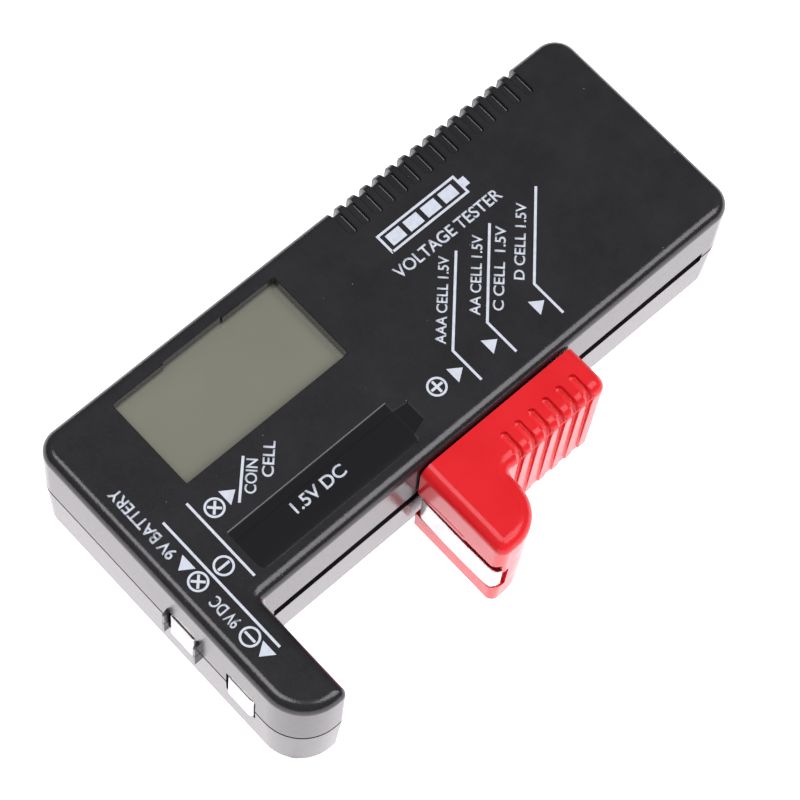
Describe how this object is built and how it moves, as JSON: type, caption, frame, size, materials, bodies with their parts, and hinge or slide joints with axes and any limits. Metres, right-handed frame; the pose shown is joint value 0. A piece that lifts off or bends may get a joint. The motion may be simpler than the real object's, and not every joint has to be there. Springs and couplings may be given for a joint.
{
  "type": "battery tester",
  "caption": "Hand-held battery tester: black two-part case with a liquid crystal display, a fixed contact arm, end snap contacts and a red sliding contact.",
  "frame": {"origin": "middle of the case body's flat back face", "axes": "+X along the case away from the 9 V end, +Y across it from the slider's side to the ribbed side, +Z out of the front face"},
  "size_m": [0.109, 0.0596, 0.024],
  "materials": {
    "case_black": "fine textured moulding",
    "slider_red": "glossy moulding",
    "nickel_plate": "bright nickel plate",
    "screw_steel": "zinc plated",
    "display_glass": "grey-olive liquid crystal glass",
    "board_green": "solder mask",
    "zebra_grey": "conductive elastomer",
    "component_black": "moulded epoxy",
    "resistor_body": "lacquered",
    "ceramic_disc": "dipped ceramic",
    "wire_red": "vinyl insulation",
    "wire_black": "vinyl insulation"
  },
  "bodies": {
    "case": {"front_shell": "case_black", "back_shell": "case_black", "contact_rail": "nickel_plate", "lcd_front_glass": "display_glass", "lcd_back_glass": "display_glass", "lcd_reflector": "nickel_plate", "zebra_strip": "zebra_grey", "circuit_board": "board_green", "controller_blob": "component_black", "electrolytic_capacitor": "component_black", "boost_inductor": "component_black", "boost_transistor": "component_black", "rectifier_diode": "component_black", "ceramic_capacitor_1": "ceramic_disc", "ceramic_capacitor_2": "ceramic_disc", "load_resistor_cell": "resistor_body", "load_resistor_nine_volt": "resistor_body", "wire_nine_volt_positive": "wire_red", "wire_nine_volt_negative": "wire_black", "wire_cell_negative": "wire_black", "wire_rail": "wire_red", "case_screw_1": "screw_steel", "case_screw_2": "screw_steel", "case_screw_3": "screw_steel", "case_screw_4": "screw_steel", "board_screw_1": "screw_steel", "board_screw_2": "screw_steel", "board_screw_3": "screw_steel"},
    "slider": {"slider_body": "slider_red", "slider_wiper": "nickel_plate"},
    "slider_leaf": {"slider_contact": "nickel_plate"},
    "cell_leaf": {"cell_negative_contact": "nickel_plate"},
    "snap_positive_leaf": {"nine_volt_positive_contact": "nickel_plate"},
    "snap_negative_leaf": {"nine_volt_negative_contact": "nickel_plate"}
  },
  "joints": [
    {"name": "slider_slide", "type": "slide", "parent": "case", "child": "slider", "axis": [1, 0, 0], "range_m": [-0.03, 0.0315]},
    {"name": "slider_contact_flex", "type": "hinge", "parent": "slider", "child": "slider_leaf", "pos_m": [-0.0126, -0.02125, 0.0083], "axis": [0, 0, 1], "range_deg": [0, 2.4], "stiffness_Nm_per_rad": 0.6},
    {"name": "cell_negative_flex", "type": "slide", "parent": "case", "child": "cell_leaf", "axis": [-1, 0, 0], "range_m": [0, 0.0006], "stiffness_N_per_m": 2500},
    {"name": "nine_volt_positive_flex", "type": "slide", "parent": "case", "child": "snap_positive_leaf", "axis": [1, 0, 0], "range_m": [0, 0.0005], "stiffness_N_per_m": 3000},
    {"name": "nine_volt_negative_flex", "type": "slide", "parent": "case", "child": "snap_negative_leaf", "axis": [1, 0, 0], "range_m": [0, 0.0005], "stiffness_N_per_m": 3000}
  ]
}
